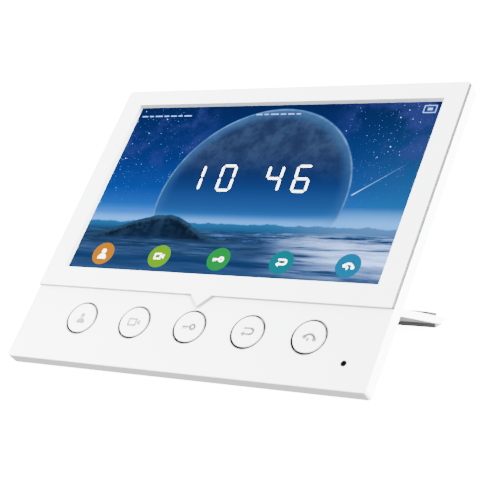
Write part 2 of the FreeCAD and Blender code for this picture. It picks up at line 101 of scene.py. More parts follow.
class Tree:
    """Short calls for adding nodes to a material or a node group."""

    def __init__(self, tree):
        self.tree = tree

    def add(self, kind, **settings):
        """A new node, with its settings."""
        node = self.tree.nodes.new(kind)
        for name, value in settings.items():
            setattr(node, name, value)
        return node

    def feed(self, socket, value):
        """Links a node's output to an input, or sets a plain value on it."""
        if isinstance(value, bpy.types.NodeSocket):
            self.tree.links.new(value, socket)
        else:
            socket.default_value = value

    def math(self, operation, first, second=0.0, third=0.0, clamp=False):
        """One sum on up to three values."""
        node = self.add("ShaderNodeMath", operation=operation, use_clamp=clamp)
        for socket, value in zip(node.inputs, (first, second, third)):
            self.feed(socket, value)
        return node.outputs[0]

    def step(self, value, start, end):
        """0 at start and 1 at end, smooth between."""
        node = self.add("ShaderNodeMapRange", interpolation_type="SMOOTHSTEP")
        self.feed(node.inputs["Value"], value)
        self.feed(node.inputs["From Min"], start)
        self.feed(node.inputs["From Max"], end)
        return node.outputs["Result"]

    def fall(self, value, start, end):
        """1 at start and 0 at end, smooth between."""
        return self.math("SUBTRACT", 1.0, self.step(value, start, end))

    def product(self, first, *others):
        """Several values multiplied together."""
        for other in others:
            first = self.math("MULTIPLY", first, other)
        return first

    def distance(self, x, y):
        """How far a point is from the origin."""
        return self.math("SQRT", self.math("ADD", self.math("MULTIPLY", x, x), self.math("MULTIPLY", y, y)))

    def near(self, value, middle):
        """How far a value is from a middle one, either way."""
        return self.math("ABSOLUTE", self.math("SUBTRACT", value, middle))

    def stretch(self, vector, factors):
        """A vector scaled by a factor along each axis."""
        node = self.add("ShaderNodeVectorMath", operation="MULTIPLY")
        self.feed(node.inputs[0], vector)
        self.feed(node.inputs[1], factors)
        return node.outputs[0]

    def mix(self, amount, first, second):
        """The first colour at 0 and the second at 1."""
        node = self.add("ShaderNodeMix", data_type="RGBA")
        self.feed(node.inputs[0], amount)
        self.feed(node.inputs[6], first)
        self.feed(node.inputs[7], second)
        return node.outputs[2]

    def noise(self, vector, scale, detail=2.0, rough=0.5):
        """Soft random values over the surface."""
        node = self.add("ShaderNodeTexNoise")
        self.feed(node.inputs["Vector"], vector)
        self.feed(node.inputs["Scale"], scale)
        self.feed(node.inputs["Detail"], detail)
        self.feed(node.inputs["Roughness"], rough)
        return node.outputs["Fac"]

    def split(self, vector):
        """The three parts of a vector."""
        node = self.add("ShaderNodeSeparateXYZ")
        self.feed(node.inputs[0], vector)
        return node.outputs[0], node.outputs[1], node.outputs[2]

    def join(self, x, y, z):
        """A vector from its three parts."""
        node = self.add("ShaderNodeCombineXYZ")
        for socket, value in zip(node.inputs, (x, y, z)):
            self.feed(socket, value)
        return node.outputs[0]

    def place(self):
        """The point in the station's own axes, in millimetres."""
        spot = self.add("ShaderNodeTexCoord").outputs["Object"]
        back = SEAT.inverted()
        node = self.add("ShaderNodeMapping")
        self.feed(node.inputs["Vector"], spot)
        self.feed(node.inputs["Rotation"], (-LEAN, 0, 0))
        self.feed(node.inputs["Location"], tuple(back.translation))
        scale = self.add("ShaderNodeVectorMath", operation="SCALE")
        self.feed(scale.inputs[0], node.outputs[0])
        self.feed(scale.inputs["Scale"], 1 / MM)
        return scale.outputs[0]

    def bump(self, height, strength, distance):
        """A small relief from a height."""
        node = self.add("ShaderNodeBump")
        self.feed(node.inputs["Height"], height)
        self.feed(node.inputs["Strength"], strength)
        self.feed(node.inputs["Distance"], distance)
        return node.outputs[0]


def new_group(name, outputs):
    """An empty node group with the named outputs."""
    group = bpy.data.node_groups.new(name, "ShaderNodeTree")
    for label, kind in outputs:
        group.interface.new_socket(name=label, in_out="OUTPUT", socket_type=kind)
    tree = Tree(group)
    return tree, tree.add("NodeGroupOutput")


def make_grain_group():
    """Fine moulded grain: a slight patchiness, a roughness change and a tiny relief."""
    tree, out = new_group("moulded grain", (("Patch", "NodeSocketFloat"), ("Rough", "NodeSocketFloat"),
                                            ("Normal", "NodeSocketVector")))
    spot = tree.place()
    wide = tree.noise(spot, 0.035, 2.0)
    fine = tree.noise(spot, 3.4, 3.0, 0.6)
    tree.feed(out.inputs["Patch"], tree.step(wide, 0.3, 0.7))
    tree.feed(out.inputs["Rough"], tree.math("MULTIPLY_ADD", fine, 0.12, -0.06))
    tree.feed(out.inputs["Normal"], tree.bump(fine, 0.12, 0.00003))
    return tree.tree


def make_brush_group():
    """Fine lines left by rolling or turning on metal."""
    tree, out = new_group("rolled metal", (("Lines", "NodeSocketFloat"), ("Normal", "NodeSocketVector")))
    spot = tree.add("ShaderNodeTexCoord").outputs["Object"]
    lines = tree.noise(tree.stretch(spot, (120.0, 9000.0, 9000.0)), 1.0, 3.0, 0.6)
    tree.feed(out.inputs["Lines"], lines)
    tree.feed(out.inputs["Normal"], tree.bump(lines, 0.15, 0.00004))
    return tree.tree


GRAIN = make_grain_group()
BRUSH = make_brush_group()


def find_shader(made):
    """The one shader of a material."""
    return [node for node in made.node_tree.nodes if node.type == "BSDF_PRINCIPLED"][0]


def new_material(name):
    """A new material, its node tree and its shader."""
    made = bpy.data.materials.new(name)
    made.use_nodes = True
    return made, Tree(made.node_tree), find_shader(made)


def moulded(name, colour, shade=0.96, rough=0.42, coat=0.0):
    """Moulded plastic, rubber or lacquer with the shared grain."""
    made, tree, shader = new_material(name)
    grain = tree.add("ShaderNodeGroup", node_tree=GRAIN)
    darker = tuple(part * shade for part in colour[:3]) + (1.0,)
    tree.feed(shader.inputs["Base Color"], tree.mix(grain.outputs["Patch"], colour, darker))
    tree.feed(shader.inputs["Roughness"], tree.math("ADD", grain.outputs["Rough"], rough))
    tree.feed(shader.inputs["Normal"], grain.outputs["Normal"])
    shader.inputs["Coat Weight"].default_value = coat
    shader.inputs["Coat Roughness"].default_value = 0.08
    return made


def shaded_gaps(made, rule, tint):
    """Paints shade: darkens the stretches of a moulded material that a rule on the place picks out."""
    tree = Tree(made.node_tree)
    shader = find_shader(made)
    plain = shader.inputs["Base Color"].links[0].from_socket
    across, up, out = tree.split(tree.place())
    tree.feed(shader.inputs["Base Color"], tree.mix(rule(tree, across, up, out), plain, tint))
    return made


# each rule takes the place across, up the face and out of it, whether it needs all three or not
def deep_inside(tree, across, up, out):
    """Painted shade: the walls of the holes in the face, below its skin, tinted near black as the shade
    inside them.
    """
    inner = FACE_HALF - SKIRT_THICK
    inward = tree.fall(tree.math("ABSOLUTE", across), inner - 0.2, inner)
    above = tree.step(up, SKIRT_THICK + 0.1, SKIRT_THICK + 0.3)
    below = tree.fall(up, SEAM_UP - 1.2, SEAM_UP - 0.7)
    return tree.product(tree.fall(out, -0.14, -0.02), inward, above, below)


def vent_walls(tree, across, up, out):
    """Painted shade: the walls of the vents and sound holes in the rear cover, past its skin, tinted near
    black as the shade inside them.
    """
    behind = tree.fall(out, COVER_INNER - 0.2, COVER_INNER)
    within = tree.step(out, COVER_BACK, COVER_BACK + 0.2)
    above = tree.step(up, VENTS_LOW, VENTS_LOW + 0.5)
    below = tree.fall(up, VENTS_HIGH - 0.5, VENTS_HIGH)
    return tree.product(behind, within, above, below)


def below_rim(tree, across, up, out):
    """Painted shade: the skirt of a key, below the face, tinted near black as the shade down in the gap
    around the key.
    """
    return tree.fall(out, -0.14, 0.04)


def key_rings(tree, across, up, out):
    """The shade that gathers around each key, deepest at its lower left and upper right."""
    pitch = KEY_PITCH / MM
    slot = tree.math("ROUND", tree.math("DIVIDE", across, pitch))
    x = tree.math("SUBTRACT", across, tree.math("MULTIPLY", slot, pitch))
    y = tree.math("SUBTRACT", up, KEY_UP / MM)
    reach = tree.distance(x, y)
    ring = tree.product(tree.step(reach, KEY_RADIUS - 0.5, KEY_RADIUS - 0.17),
                        tree.fall(reach, KEY_HOLE + 0.07, KEY_HOLE + 0.45))
    slant = tree.math("DIVIDE", tree.math("ADD", x, y), tree.math("MULTIPLY", reach, -math.sqrt(2)))
    lower = tree.math("MULTIPLY_ADD", tree.step(slant, 0.1, 0.9), 0.58, 0.42)
    upper = tree.math("MULTIPLY", tree.step(slant, -0.3, -0.9), 0.42)
    row = tree.fall(tree.math("ABSOLUTE", across), 2.4 * pitch, 2.5 * pitch)
    return tree.product(ring, row, tree.math("ADD", lower, upper))


def hole_rim(tree, across, up, out):
    """The shade in the mouth of the microphone hole."""
    x = tree.math("SUBTRACT", across, HOLE_SPOT[0])
    reach = tree.distance(x, tree.math("SUBTRACT", up, HOLE_SPOT[1]))
    return tree.fall(reach, HOLE_RADIUS + 0.2, HOLE_RADIUS + 0.45)


def pointer_shade(tree, across, up, out):
    """The shade on the far side of the pointer, along its left edge."""
    away = Vector((-POINTER_DROP, -POINTER_HALF)).normalized()
    off = tree.math("ADD", tree.math("MULTIPLY", tree.math("ADD", across, POINTER_HALF), away.x),
                    tree.math("MULTIPLY", tree.math("SUBTRACT", up, SEAM_UP), away.y))
    strip = tree.product(tree.step(off, -0.62, -0.3), tree.fall(off, 0.9, 1.6))
    return tree.product(strip, tree.fall(across, -0.2, 0.3), tree.fall(up, SEAM_UP, SEAM_UP + 0.3), 0.55)


def outer_edge(tree, across, up, out):
    """The thin right and top sides of the bezel panel, left in their own shadow line."""
    side = tree.step(across, FACE_HALF - 0.75, FACE_HALF - 0.5)
    top = tree.product(tree.step(up, FACE_HIGH - 0.6, FACE_HIGH - 0.3), 0.8)
    return tree.math("MAXIMUM", side, top)


def pointer_sides(tree, across, up, out):
    """Painted shade: the thin sides of the bezel panel along its seam and its pointer, tinted grey as the
    shade they stand in.
    """
    return tree.product(tree.fall(up, SEAM_UP + 0.05, SEAM_UP + 0.2),
                        tree.fall(out, BEZEL_PROUD - 0.18, BEZEL_PROUD - 0.04), 0.8)


def metal(name, colour, rough=0.32):
    """Bare metal with the lines of its rolling."""
    made, tree, shader = new_material(name)
    brush = tree.add("ShaderNodeGroup", node_tree=BRUSH)
    darker = tuple(part * 0.8 for part in colour[:3]) + (1.0,)
    tree.feed(shader.inputs["Base Color"], tree.mix(brush.outputs["Lines"], darker, colour))
    tree.feed(shader.inputs["Roughness"], tree.math("MULTIPLY_ADD", brush.outputs["Lines"], 0.2, rough - 0.1))
    tree.feed(shader.inputs["Normal"], brush.outputs["Normal"])
    shader.inputs["Metallic"].default_value = 1.0
    return made


def rgb(red, green, blue):
    """A colour as seen, turned into the linear values that shaders take."""
    def linear(part):
        """One channel."""
        part = part / 255
        return part / 12.92 if part <= 0.04045 else ((part + 0.055) / 1.055) ** 2.4
    return (linear(red), linear(green), linear(blue), 1.0)


def lit(red, green, blue):
    """A colour of the display, stronger where it is bright, since the view rolls bright colours off."""
    return tuple(part * math.exp(1.9 * part ** 2.4) for part in rgb(red, green, blue)[:3]) + (1.0,)


def shine_out(tree, shader, colour, rough):
    """Lets a surface give its own light and take none from the room."""
    tree.feed(shader.inputs["Emission Color"], colour)
    shader.inputs["Emission Strength"].default_value = 1.0
    shader.inputs["Base Color"].default_value = (0.0, 0.0, 0.0, 1.0)
    shader.inputs["Roughness"].default_value = rough
    shader.inputs["Specular IOR Level"].default_value = 0.0


def glow(name, colour):
    """Artwork shown by the display."""
    made, tree, shader = new_material(name)
    dots = tree.noise(tree.place(), 5.0, 0.0)
    dim = tuple(part * 0.94 for part in colour[:3]) + (1.0,)
    shine_out(tree, shader, tree.mix(dots, dim, colour), 0.12)
    return made


# ---------------------------------------------------------------- the landscape on the display

PLANET = (1.5, 40.0)
PLANET_RADIUS = 47.0
HORIZON = 28.0
SKY_TOP = 90.0
METEOR_HEAD = Vector((50.2, 42.3))
METEOR_TAIL = Vector((70.5, 58.3))

# how high a colour of the sky lies, as a share of the way from the horizon to its top
SKY_STOPS = ((0.05, (52, 144, 208)), (0.13, (32, 104, 186)), (0.27, (26, 76, 164)), (0.52, (20, 54, 132)))
# scale, size and brightness of each layer of stars
STARS = ((0.3, 0.1, 1.0), (0.62, 0.12, 0.62), (1.1, 0.15, 0.5))


def sky_colour(tree, across, up):
    """Navy at the top, blue lower down and pale haze at the horizon, greyer to the right."""
    ramp = tree.add("ShaderNodeValToRGB")
    tree.feed(ramp.inputs[0], tree.math("DIVIDE", tree.math("SUBTRACT", up, HORIZON), SKY_TOP - HORIZON,
                                        clamp=True))
    stops = ramp.color_ramp.elements
    stops[0].position = 0.0
    stops[0].color = lit(96, 184, 226)
    stops[1].position = 1.0
    stops[1].color = lit(18, 38, 92)
    for position, colour in SKY_STOPS:
        stop = stops.new(position)
        stop.color = lit(*colour)
    teal = tree.mix(tree.step(up, HORIZON, SKY_TOP + 2.0), lit(52, 122, 166), lit(26, 48, 88))
    return tree.mix(tree.product(tree.step(across, 20.0, 78.0), 0.55), ramp.outputs[0], teal)


def horizon_shine(tree, across, up):
    """The light along the horizon at the right."""
    return tree.product(tree.fall(tree.near(up, HORIZON), 0.0, 9.0), tree.step(across, 14.0, 70.0), 0.6)


def star_clouds(tree, spot, across, up):
    """Faint violet clouds among the stars."""
    ragged = tree.step(tree.noise(spot, 0.05, 5.0, 0.6), 0.44, 0.62)
    sides = tree.step(tree.math("ABSOLUTE", across), 22.0, 46.0)
    return tree.product(ragged, sides, tree.step(up, 44.0, 66.0), 0.6)


def star_mask(tree, spot, across, up):
    """Small stars of several sizes, thickest at the upper left and the upper right."""
    total = 0.0
    for scale, size, level in STARS:
        cells = tree.add("ShaderNodeTexVoronoi")
        tree.feed(cells.inputs["Vector"], spot)
        tree.feed(cells.inputs["Scale"], scale)
        chance, _, _ = tree.split(cells.outputs["Color"])
        near = tree.fall(cells.outputs["Distance"], 0.0, size)
        total = tree.math("ADD", total, tree.product(near, tree.step(chance, 0.3, 0.7), level))
    thick = tree.math("ADD", tree.step(tree.noise(spot, 0.06, 3.0), 0.4, 0.62), 0.35)
    sides = tree.step(tree.math("ABSOLUTE", across), 24.0, 50.0)
    high = tree.step(up, 30.0, 60.0)
    return tree.math("MULTIPLY", tree.product(high, sides, thick), total, clamp=True)


def paint_planet(tree, spot, across, up, sky):
    """The planet over the sky: dark below, mottled above, with a bright rim."""
    reach = tree.distance(tree.math("SUBTRACT", across, PLANET[0]), tree.math("SUBTRACT", up, PLANET[1]))
    inside = tree.fall(reach, PLANET_RADIUS - 0.5, PLANET_RADIUS + 0.3)
    rim = tree.product(inside, tree.step(reach, PLANET_RADIUS - 7.0, PLANET_RADIUS))
    edge = tree.product(inside, tree.step(reach, PLANET_RADIUS - 1.3, PLANET_RADIUS - 0.2))
    mottle = tree.noise(spot, 0.11, 6.0, 0.68)
    inner = tree.mix(tree.step(up, 31.0, 54.0), lit(44, 90, 152), lit(28, 48, 104))
    colour = tree.mix(tree.product(inside, tree.step(up, 25.0, 34.0), 0.85), sky, inner)
    body = tree.mix(tree.step(mottle, 0.36, 0.66), lit(46, 62, 100), lit(68, 90, 128))
    colour = tree.mix(tree.product(inside, tree.step(up, 44.0, 68.0), 0.85), colour, body)
    high = tree.math("MULTIPLY_ADD", tree.step(up, 36.0, 80.0), 0.3, 0.2)
    colour = tree.mix(tree.product(rim, high), colour, lit(84, 138, 184))
    faint = tree.math("MULTIPLY_ADD", tree.step(mottle, 0.35, 0.65), 0.3, 0.12)
    return tree.mix(tree.product(edge, faint), colour, lit(150, 196, 226))


def meteor_mask(tree, across, up):
    """A streak, bright at its head and fading along its tail."""
    long = (METEOR_TAIL - METEOR_HEAD).length
    run = (METEOR_TAIL - METEOR_HEAD) / long
    x = tree.math("SUBTRACT", across, METEOR_HEAD.x)
    y = tree.math("SUBTRACT", up, METEOR_HEAD.y)
    along = tree.math("ADD", tree.math("MULTIPLY", x, run.x), tree.math("MULTIPLY", y, run.y))
    off = tree.near(tree.math("MULTIPLY", x, run.y), tree.math("MULTIPLY", y, run.x))
    fade = tree.math("SUBTRACT", 1.0, tree.math("DIVIDE", along, long), clamp=True)
    faint = tree.math("MULTIPLY_ADD", tree.math("POWER", fade, 6.0), 0.6, tree.math("MULTIPLY", fade, 0.34))
    return tree.product(tree.fall(off, 0.02, 0.42), tree.step(along, -0.8, 0.6), faint, 0.8)


def plain_colour(tree, spot, across, up):
    """The plain: slate blue at the left, ice-bright at the lower right, with long dark streaks."""
    bands = tree.noise(tree.stretch(spot, (0.022, 0.3, 1.0)), 1.0, 5.0, 0.6)
    ripples = tree.noise(tree.stretch(spot, (0.1, 0.95, 1.0)), 1.0, 6.0, 0.7)
    scratches = tree.noise(tree.stretch(spot, (0.05, 1.7, 1.0)), 1.0, 5.0, 0.75)
    base = tree.mix(tree.step(bands, 0.35, 0.65), lit(36, 62, 98), lit(62, 94, 140))
    base = tree.mix(tree.product(tree.step(up, 16.0, 0.0), 0.5), base, lit(44, 84, 140))
    glare = tree.product(tree.step(across, 12.0, 64.0), tree.fall(tree.near(up, 14.0), 4.0, 14.0),
                         tree.step(bands, 0.34, 0.62), 0.9)
    base = tree.mix(glare, base, lit(206, 222, 242))
    mid = tree.fall(tree.near(up, 22.0), 1.0, 6.0)
    base = tree.mix(tree.product(mid, tree.step(ripples, 0.5, 0.6), 0.6), base, lit(18, 54, 92))
    light = tree.product(mid, tree.step(across, -30.0, 30.0), tree.step(ripples, 0.46, 0.34), 0.55)
    base = tree.mix(light, base, lit(150, 200, 236))
    broad = tree.fall(tree.near(up, 17.0), 3.0, 10.0)
    base = tree.mix(tree.product(broad, tree.step(scratches, 0.53, 0.62), 0.55), base, lit(16, 50, 92))
    base = tree.mix(tree.product(broad, tree.step(scratches, 0.44, 0.34), 0.28), base, lit(120, 172, 214))
    wave = tree.math("MULTIPLY_ADD", tree.noise(spot, 0.03, 1.0), 5.0, 5.2)
    return tree.mix(tree.product(tree.fall(tree.near(up, wave), 0.5, 2.2), 0.65), base, lit(20, 52, 104))


def paint_ground(tree, spot, across, up, sky):
    """The plain and the ragged far hills under the sky."""
    along = tree.join(across, 0.0, 0.0)
    ridge = tree.math("MULTIPLY_ADD", tree.noise(along, 0.09, 5.0, 0.6), 5.0, HORIZON - 4.0)
    hills = tree.mix(tree.step(up, 20.0, 28.0), lit(34, 82, 130), lit(56, 122, 172))
    hills = tree.mix(tree.product(tree.step(across, 10.0, 70.0), 0.4), hills, lit(122, 170, 206))
    land = tree.mix(tree.step(up, 21.0, 24.5), plain_colour(tree, spot, across, up), hills)
    return tree.mix(tree.fall(tree.math("SUBTRACT", up, ridge), -0.3, 0.4), sky, land)


def paint_hill(tree, spot, across, up, scene):
    """The dark hill: a long rise from the left, a round top and a steeper fall to the right."""
    rise = tree.product(tree.step(across, -80.0, -36.0), tree.fall(across, -35.0, -6.0))
    rough = tree.math("MULTIPLY_ADD", tree.noise(spot, 0.28, 4.0), 1.6, -0.8)
    top = tree.math("ADD", tree.math("MULTIPLY_ADD", rise, 11.5, 18.8), rough)
    hill = tree.product(tree.fall(tree.math("SUBTRACT", up, top), -0.5, 0.3), tree.step(up, 15.5, 19.5),
                        tree.step(across, -82.0, -70.0), tree.fall(across, -6.0, 8.0))
    depth = tree.step(tree.math("SUBTRACT", top, up), 0.0, 9.0)
    folds = tree.noise(spot, 0.22, 5.0, 0.7)
    face = tree.mix(tree.step(folds, 0.42, 0.6), lit(18, 34, 58), lit(44, 66, 94))
    face = tree.mix(tree.product(depth, 0.6), face, lit(24, 48, 82))
    lee = tree.product(tree.step(across, -38.0, -26.0), tree.step(depth, 0.0, 0.5), 0.45)
    face = tree.mix(lee, face, lit(14, 24, 40))
    face = tree.mix(tree.product(tree.fall(depth, 0.02, 0.22), 0.35), face, lit(70, 110, 140))
    return tree.mix(hill, scene, face)


def make_landscape():
    """The picture on the display, in millimetres from the middle of its lower edge."""
    made, tree, shader = new_material("display landscape")
    across, up_face, _ = tree.split(tree.place())
    up = tree.math("SUBTRACT", up_face, WINDOW_UP / MM)
    spot = tree.join(across, up, 0.0)
    colour = sky_colour(tree, across, up)
    colour = tree.mix(horizon_shine(tree, across, up), colour, lit(124, 200, 232))
    colour = tree.mix(star_clouds(tree, spot, across, up), colour, lit(66, 74, 150))
    colour = tree.mix(star_mask(tree, spot, across, up), colour, lit(225, 240, 255))
    colour = paint_planet(tree, spot, across, up, colour)
    colour = tree.mix(meteor_mask(tree, across, up), colour, lit(200, 228, 245))
    colour = paint_ground(tree, spot, across, up, colour)
    shine_out(tree, shader, paint_hill(tree, spot, across, up, colour), 0.14)
    return made


# ---------------------------------------------------------------- flat shapes

def disc(x, y, radius, steps=32):
    """A round outline."""
    turns = [2 * math.pi * step / steps for step in range(steps)]
    return [(x + radius * math.cos(turn), y + radius * math.sin(turn)) for turn in turns]


def rectangle(x, y, wide, high):
    """A rectangular outline about its middle."""
    return [(x - wide / 2, y - high / 2), (x + wide / 2, y - high / 2),
            (x + wide / 2, y + high / 2), (x - wide / 2, y + high / 2)]


def stroke(points, wide, closed=False):
    """A line of even width with round joints, as a list of shapes."""
    shapes = [disc(x, y, wide / 2, 14) for x, y in points]
    pairs = list(zip(points, points[1:] + points[:1]))
    for start, end in pairs if closed else pairs[:-1]:
        run = Vector((end[0] - start[0], end[1] - start[1]))
        side = Vector((-run.y, run.x)).normalized() * wide / 2
        shapes.append([(start[0] - side.x, start[1] - side.y), (end[0] - side.x, end[1] - side.y),
                       (end[0] + side.x, end[1] + side.y), (start[0] + side.x, start[1] + side.y)])
    return shapes


def arc(x, y, radius, start, end, steps=16):
    """Points along part of a circle, between two angles in degrees."""
    turns = [math.radians(start + (end - start) * step / steps) for step in range(steps + 1)]
    return [(x + radius * math.cos(turn), y + radius * math.sin(turn)) for turn in turns]


# each icon is about 2 units wide and high, centred on the origin
def person_icon():
    """A head over shoulders."""
    shoulders = arc(0, -0.95, 0.95, 0, 180)
    return [disc(0, 0.52, 0.5), shoulders, rectangle(0, -0.98, 1.7, 0.3)]


def camera_icon():
    """A camera seen from its side."""
    box_line = stroke([(-0.95, -0.5), (0.3, -0.5), (0.3, 0.5), (-0.95, 0.5)], 0.3, closed=True)
    return box_line + [[(0.5, -0.12), (1.05, -0.5), (1.05, 0.5), (0.5, 0.12)]]


def key_icon():
    """A door key lying on its side."""
    ring = stroke(arc(0.55, 0, 0.38, 0, 345, 18), 0.34, closed=True)
    shaft = stroke([(0.2, 0), (-1.0, 0)], 0.32)
    teeth = stroke([(-0.95, 0), (-0.95, -0.38)], 0.2) + stroke([(-0.55, 0), (-0.55, -0.3)], 0.2)
    return ring + shaft + teeth


def return_icon():
    """An arrow that turns back to the left."""
    path = [(-0.6, 0.52), (0.5, 0.52)] + arc(0.45, 0.08, 0.45, 80, -80, 10) + [(0.4, -0.37), (-0.5, -0.37)]
    head = [(-1.05, -0.37), (-0.45, -0.85), (-0.45, 0.11)]
    return stroke(path, 0.34) + [head]


def talk_icon():
    """A handset over a small arrow."""
    bow = stroke(arc(0.08, -0.42, 0.82, 8, 150, 18), 0.36)
    ends = [disc(-0.68, -0.02, 0.33, 16), disc(0.9, -0.34, 0.33, 16)]
    arrow = [[(-0.4, -0.42), (0.2, -0.42), (-0.1, -0.02)], rectangle(-0.1, -0.55, 0.3, 0.3)]
    return bow + ends + arrow


ICONS = {"contact": person_icon, "monitor": camera_icon, "unlock": key_icon, "return": return_icon,
         "talk": talk_icon}


def inked(name, shapes, depth, thick, material, body, slot, centre=(0.0, 0.0), scale=1.0):
    """Thin plates on the face, their outlines in millimetres and their depth and thickness in metres."""
    mesh = bpy.data.meshes.new(name)
    work = bmesh.new()
    for shape in shapes:
        ring = [work.verts.new(((centre[0] + x * scale) * MM, (centre[1] + y * scale) * MM, depth))
                for x, y in shape]
        area = sum(a.co.x * b.co.y - b.co.x * a.co.y for a, b in zip(ring, ring[1:] + ring[:1]))
        face = work.faces.new(ring if area < 0 else list(reversed(ring)))
        grown = bmesh.ops.extrude_face_region(work, geom=[face])
        raised = [item for item in grown["geom"] if isinstance(item, bmesh.types.BMVert)]
        bmesh.ops.translate(work, verts=raised, vec=(0, 0, thick))
    bmesh.ops.recalc_face_normals(work, faces=work.faces)
    work.transform(SEAT)
    work.to_mesh(mesh)
    work.free()
    piece = bpy.data.objects.new(name, mesh)
    bpy.context.scene.collection.objects.link(piece)
    mesh.materials.append(material)
    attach(piece, body)
    return piece


# ---------------------------------------------------------------- digits

SEGMENTS = {"0": "abcdef", "1": "bc", "4": "bcfg", "6": "acdefg"}
DIGIT_WIDE = 6.6
DIGIT_HIGH = 12.8
DIGIT_LINE = 1.25
DIGIT_SLANT = -0.06
SEGMENT_GAP = 0.2
SEGMENT_TIP = 0.14


def segment(start, end):
    """One bar of a digit with pointed ends."""
    run = (Vector(end) - Vector(start)).normalized()
    side = Vector((-run.y, run.x)) * DIGIT_LINE / 2
    first = Vector(start) + run * SEGMENT_GAP
    last = Vector(end) - run * SEGMENT_GAP
    tip = run * (DIGIT_LINE / 2 + SEGMENT_TIP)
    return [tuple(first), tuple(first + tip + side), tuple(last - tip + side), tuple(last),
            tuple(last - tip - side), tuple(first + tip - side)]


def digit(symbol, x, y):
    """The outlines of one clock digit about its middle."""
    wide = DIGIT_WIDE / 2
    high = DIGIT_HIGH / 2
    ends = {"a": ((-wide, high), (wide, high)), "b": ((wide, high), (wide, 0)),
            "c": ((wide, 0), (wide, -high)), "d": ((-wide, -high), (wide, -high)),
            "e": ((-wide, -high), (-wide, 0)), "f": ((-wide, 0), (-wide, high)),
            "g": ((-wide, 0), (wide, 0))}
    shapes = []
    for bar in SEGMENTS[symbol]:
        outline = segment(*ends[bar])
        shapes.append([(x + px + DIGIT_SLANT * py, y + py) for px, py in outline])
    return shapes


# ---------------------------------------------------------------- what the display and the keys show

# the body that the display's pieces ride on, and a slot name passed along with it
ON_SCREEN = ("station", "display_glass")
SCREEN_SHEET = 0.02 * MM
INK = 0.01 * MM
KEY_INK = 0.012 * MM

# places on the display, in millimetres across from its middle and up from its lower edge
CLOCK = (("1", -30.2), ("0", -14.0), ("4", 10.0), ("6", 23.8))
CLOCK_UP = 50.0
MARK_ROWS = ((-75.5, 7), (-12.5, 6))
MARK_WIDTHS = (3.2, 2.2, 4.0, 2.6)
MARK_UP = 84.2
MARK_HIGH = 0.6
MARK_GAP = 1.1
SIGN_FRAME = ((68.6, 83.6), (74.0, 83.6), (74.0, 87.2), (68.6, 87.2))
SIGN_LINE = 0.4
SIGN_MIDDLE = (71.3, 85.4)
SIGN_SIZE = (2.2, 1.2)
DISC_COLOURS = ((200, 146, 0), (128, 184, 0), (20, 164, 78), (0, 140, 152), (0, 138, 178))
DISC_PITCH = 30.45
DISC_SHIFT = -0.7
DISC_UP = 9.1
DISC_RADIUS = 5.55
DISC_ICON = 2.4
KEY_ICONS = {"contact": 2.3, "monitor": 2.9, "unlock": 2.9, "return": 2.9, "talk": 2.9}


def display_marks(low):
    """Plain marks where the display shows its wording, and a small panel sign at the upper right."""
    marks = []
    for x, count in MARK_ROWS:
        for number in range(count):
            wide = MARK_WIDTHS[number % len(MARK_WIDTHS)]
            marks += [rectangle(x + wide / 2, low + MARK_UP, wide, MARK_HIGH)]
            x += wide + MARK_GAP
    marks += stroke([(x, low + y) for x, y in SIGN_FRAME], SIGN_LINE, closed=True)
    x, y = SIGN_MIDDLE
    return marks + [rectangle(x, low + y, *SIGN_SIZE)]


def make_display():
    """The lit picture just in front of the glass, its clock, marks and coloured touch discs."""
    face = LENS_DEPTH + SCREEN_SHEET
    half = WINDOW_WIDE / MM / 2
    low = WINDOW_UP / MM
    high = low + WINDOW_HIGH / MM
    sheet = [(-half, low), (half, low), (half, high), (-half, high)]
    inked("display_picture", [sheet], face, SCREEN_SHEET, make_landscape(), *ON_SCREEN)
    face += SCREEN_SHEET
    white = glow("display white", lit(255, 255, 255))
    clock = []
    for symbol, x in CLOCK:
        clock += digit(symbol, x, low + CLOCK_UP)
    inked("display_clock", clock, face, INK, white, *ON_SCREEN)
    pale = glow("display pale", lit(190, 208, 232))
    inked("display_marks", display_marks(low), face, INK, pale, *ON_SCREEN)
    for number, (name, colour) in enumerate(zip(KEYS, DISC_COLOURS)):
        x = (number - 2) * DISC_PITCH + DISC_SHIFT
        y = low + DISC_UP
        made = glow("display disc " + name, lit(*colour))
        inked("display_disc_" + name, [disc(x, y, DISC_RADIUS, 48)], face, INK, made, *ON_SCREEN)
        inked("display_icon_" + name, ICONS[name](), face + INK, INK, white, *ON_SCREEN, (x, y),
              DISC_ICON)


def make_key_marks():
    """The grey icon printed on each key."""
    grey = moulded("printed grey", rgb(100, 102, 106), 0.97, 0.5)
    for number, name in enumerate(KEYS):
        x = (number - 2) * KEY_PITCH / MM
        inked("key_mark_" + name, ICONS[name](), KEY_TOP, KEY_INK, grey, "button_" + name, "key_plastic",
              (x, KEY_UP / MM), KEY_ICONS[name])


# ---------------------------------------------------------------- materials for the made parts

def dress(names, material):
    """Gives parts their material."""
    for name in names:
        node = NODES[name]
        node.data.materials.clear()
        node.data.materials.append(material)


EDGE_ROUND = 0.15 * MM
EDGE_ANGLE = math.radians(40)


def soften(names):
    """A small rounding on the sharp edges, which keeps the outline."""
    for name in names:
        made = NODES[name].modifiers.new("edge", "BEVEL")
        made.width = EDGE_ROUND
        made.segments = 2
        made.limit_method = "ANGLE"
        made.angle_limit = EDGE_ANGLE
        made.harden_normals = False


WHITE = rgb(243, 244, 246)
SOFT_SHADE = rgb(120, 121, 124)
GAP_SHADE = rgb(20, 20, 21)
HOLE_SHADE = rgb(6, 6, 7)
STEEL = (0.3, 0.3, 0.31, 1.0)


